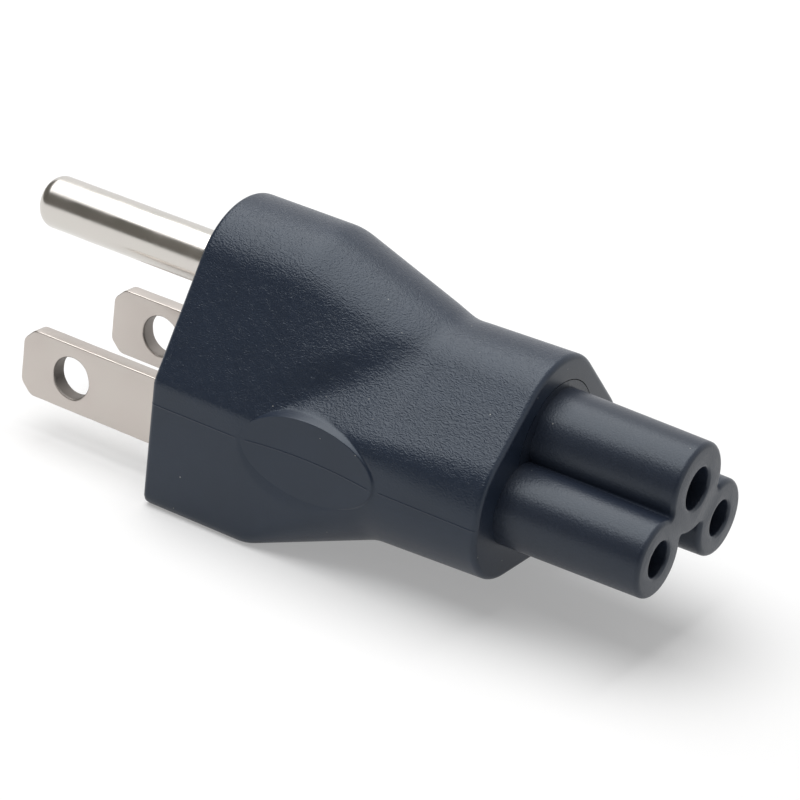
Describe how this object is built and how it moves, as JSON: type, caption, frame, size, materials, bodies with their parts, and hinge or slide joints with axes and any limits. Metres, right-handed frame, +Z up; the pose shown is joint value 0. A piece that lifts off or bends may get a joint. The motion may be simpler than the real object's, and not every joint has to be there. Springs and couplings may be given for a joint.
{
  "type": "power adapter plug",
  "caption": "One-piece moulded power adapter: a grounded flat-blade plug at one end, a three-lobed appliance socket at the other, with scooped finger pads.",
  "frame": {"origin": "middle of the underside: the head's flat bottom lies on Z = 0", "axes": "+X from the plug to the socket, +Y across, +Z up with the ground pin above the blades"},
  "size_m": [0.0658, 0.0228, 0.0252],
  "materials": {
    "black_pvc": "fine grain",
    "core_plastic": "satin",
    "bridge_plastic": "satin",
    "nickel_plate": "satin nickel plate",
    "contact_brass": "bright",
    "copper_strand": "stranded copper",
    "line_sheath": "satin",
    "neutral_sheath": "satin",
    "earth_sheath": "satin"
  },
  "bodies": {
    "root": {"overmould_body": "black_pvc", "socket_core": "core_plastic", "blade_bridge": "bridge_plastic", "line_blade": "nickel_plate", "neutral_blade": "nickel_plate", "ground_pin": "nickel_plate", "line_contact": "contact_brass", "line_conductor": "copper_strand", "line_insulation": "line_sheath", "neutral_contact": "contact_brass", "neutral_conductor": "copper_strand", "neutral_insulation": "neutral_sheath", "earth_contact": "contact_brass", "earth_conductor": "copper_strand", "earth_insulation": "earth_sheath"}
  },
  "joints": []
}
